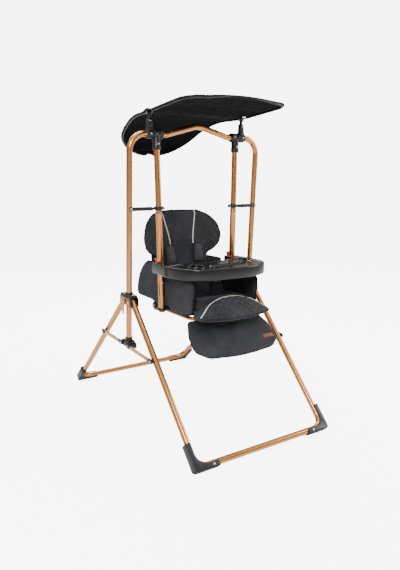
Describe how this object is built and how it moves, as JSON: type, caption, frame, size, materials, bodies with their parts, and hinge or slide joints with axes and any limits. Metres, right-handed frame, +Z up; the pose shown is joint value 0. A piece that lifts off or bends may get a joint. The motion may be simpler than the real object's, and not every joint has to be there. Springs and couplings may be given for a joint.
{
  "type": "baby swing",
  "caption": "Folding A-frame baby swing with a hanging reclining padded seat, sliding tray, footrest, harness and tilting canopy.",
  "frame": {"origin": "on the floor under the middle of the four feet", "axes": "+Z up, -Y the way the child faces, +X to the child's left"},
  "size_m": [0.688, 1.1626, 1.3375],
  "materials": {
    "bronze_paint": "satin bronze powder coat",
    "black_plastic": "moulded black plastic",
    "gloss_black": "polished black plastic",
    "bright_steel": "bright zinc-plated steel",
    "charcoal_fabric": "woven charcoal polyester",
    "canopy_fabric": "woven black polyester",
    "red_plastic": "moulded red plastic",
    "grey_board": "moulded dark grey board"
  },
  "bodies": {
    "upper_frame": {"top_frame": "bronze_paint", "foot_bracket_left": "black_plastic", "foot_bracket_right": "black_plastic", "canopy_post_left": "black_plastic", "canopy_post_right": "black_plastic"},
    "leg_hubs": {"leg_hub_left": "black_plastic", "leg_hub_right": "black_plastic", "hub_plate_left": "bronze_paint", "hub_plate_right": "bronze_paint", "leg_pin_front_left": "bright_steel", "leg_pin_front_right": "bright_steel", "leg_pin_rear_left": "bright_steel", "leg_pin_rear_right": "bright_steel"},
    "hub_latch_left_body": {"hub_latch_left": "bronze_paint"},
    "hub_latch_right_body": {"hub_latch_right": "bronze_paint"},
    "front_legs": {"front_leg_frame": "bronze_paint", "front_shoe_left": "black_plastic", "front_shoe_right": "black_plastic"},
    "rear_legs": {"rear_leg_frame": "bronze_paint", "rear_shoe_left": "black_plastic", "rear_shoe_right": "black_plastic"},
    "front_braces": {"front_brace_left": "bronze_paint", "front_brace_right": "bronze_paint"},
    "rear_braces": {"rear_brace_left": "bronze_paint", "rear_brace_right": "bronze_paint"},
    "swing": {"crossbar_sleeve_left": "black_plastic", "crossbar_sleeve_right": "black_plastic", "hanger_upper_left": "bronze_paint", "hanger_upper_right": "bronze_paint", "hanger_lower_left": "bronze_paint", "hanger_lower_right": "bronze_paint", "lock_catch_left": "black_plastic", "lock_catch_right": "black_plastic", "seat_bracket_left": "black_plastic", "seat_bracket_right": "black_plastic", "seat_tube": "bronze_paint", "seat_pan": "grey_board", "seat_cushion": "charcoal_fabric", "front_bolster": "charcoal_fabric", "side_panel_left": "charcoal_fabric", "side_panel_right": "charcoal_fabric", "crotch_pad": "charcoal_fabric", "harness_buckle": "black_plastic"},
    "lock_arm_left_body": {"lock_arm_left": "black_plastic"},
    "lock_arm_right_body": {"lock_arm_right": "black_plastic"},
    "tray": {"tray_body": "gloss_black"},
    "tray_latch_left_body": {"tray_latch_left": "red_plastic"},
    "tray_latch_right_body": {"tray_latch_right": "red_plastic"},
    "backrest": {"backrest_pad": "charcoal_fabric", "backrest_board": "grey_board", "shoulder_pad_left": "charcoal_fabric", "shoulder_pad_right": "charcoal_fabric"},
    "footrest": {"footrest_board": "grey_board", "footrest_pad": "charcoal_fabric"},
    "canopy_rear": {"canopy_rear_bow": "black_plastic", "canopy_rear_fabric": "canopy_fabric"},
    "canopy_front": {"canopy_front_bow": "black_plastic", "canopy_front_fabric": "canopy_fabric"}
  },
  "joints": [
    {"name": "leg_fold", "type": "slide", "parent": "upper_frame", "child": "leg_hubs", "axis": [0, -0.0602, 0.9982], "range_m": [0, 0.27]},
    {"name": "front_leg_fold", "type": "hinge", "parent": "leg_hubs", "child": "front_legs", "pos_m": [0, -0.07455, 0.54203], "axis": [1, 0, 0], "range_deg": [0, 37.3]},
    {"name": "rear_leg_fold", "type": "hinge", "parent": "leg_hubs", "child": "rear_legs", "pos_m": [0, -0.00867, 0.546], "axis": [-1, 0, 0], "range_deg": [0, 34.8]},
    {"name": "front_brace_fold", "type": "hinge", "parent": "upper_frame", "child": "front_braces", "pos_m": [0, -0.05998, 0.35016], "axis": [-1, 0, 0], "range_deg": [0, 76.4]},
    {"name": "rear_brace_fold", "type": "hinge", "parent": "upper_frame", "child": "rear_braces", "pos_m": [0, -0.00009, 0.35377], "axis": [1, 0, 0], "range_deg": [0, 78.4]},
    {"name": "hub_latch_left_turn", "type": "hinge", "parent": "leg_hubs", "child": "hub_latch_left_body", "pos_m": [-0.332, -0.04137, 0.54002], "axis": [1, 0, 0], "range_deg": [0, 30], "stiffness_Nm_per_rad": 0.08},
    {"name": "hub_latch_right_turn", "type": "hinge", "parent": "leg_hubs", "child": "hub_latch_right_body", "pos_m": [0.332, -0.04137, 0.54002], "axis": [1, 0, 0], "range_deg": [0, 30], "stiffness_Nm_per_rad": 0.08},
    {"name": "swing_turn", "type": "hinge", "parent": "upper_frame", "child": "swing", "pos_m": [0, -0.082, 1.214], "axis": [1, 0, 0], "range_deg": [-25, 25]},
    {"name": "lock_arm_left_turn", "type": "hinge", "parent": "upper_frame", "child": "lock_arm_left_body", "pos_m": [-0.315, -0.08024, 0.91897], "axis": [0, -0.9982, -0.0602], "range_deg": [0, 90]},
    {"name": "lock_arm_right_turn", "type": "hinge", "parent": "upper_frame", "child": "lock_arm_right_body", "pos_m": [0.315, -0.08024, 0.91897], "axis": [0, 0.9982, 0.0602], "range_deg": [0, 90]},
    {"name": "tray_slide", "type": "slide", "parent": "swing", "child": "tray", "axis": [0, -1, 0], "range_m": [0, 0.12]},
    {"name": "tray_latch_left_turn", "type": "hinge", "parent": "swing", "child": "tray_latch_left_body", "pos_m": [-0.18484, -0.064, 0.6575], "axis": [-1, 0, 0], "range_deg": [0, 25], "stiffness_Nm_per_rad": 0.12},
    {"name": "tray_latch_right_turn", "type": "hinge", "parent": "swing", "child": "tray_latch_right_body", "pos_m": [0.18484, -0.064, 0.6575], "axis": [-1, 0, 0], "range_deg": [0, 25], "stiffness_Nm_per_rad": 0.12},
    {"name": "recline", "type": "hinge", "parent": "swing", "child": "backrest", "pos_m": [0, 0.008, 0.52], "axis": [-1, 0, 0], "range_deg": [0, 35]},
    {"name": "footrest_lift", "type": "hinge", "parent": "swing", "child": "footrest", "pos_m": [0, -0.247, 0.478], "axis": [-1, 0, 0], "range_deg": [-30, 18]},
    {"name": "canopy_tilt", "type": "hinge", "parent": "upper_frame", "child": "canopy_rear", "pos_m": [0, -0.082, 1.294], "axis": [1, 0, 0], "range_deg": [-12, 20]},
    {"name": "canopy_fold", "type": "hinge", "parent": "canopy_rear", "child": "canopy_front", "pos_m": [0, -0.082, 1.294], "axis": [-1, 0, 0], "range_deg": [0, 100]}
  ],
  "couplings": [
    {"joint": "front_leg_fold", "follows": "leg_fold", "rad_per_m": 2.404},
    {"joint": "rear_leg_fold", "follows": "leg_fold", "rad_per_m": 2.2385},
    {"joint": "front_brace_fold", "follows": "leg_fold", "rad_per_m": 4.9257},
    {"joint": "rear_brace_fold", "follows": "leg_fold", "rad_per_m": 5.055}
  ]
}
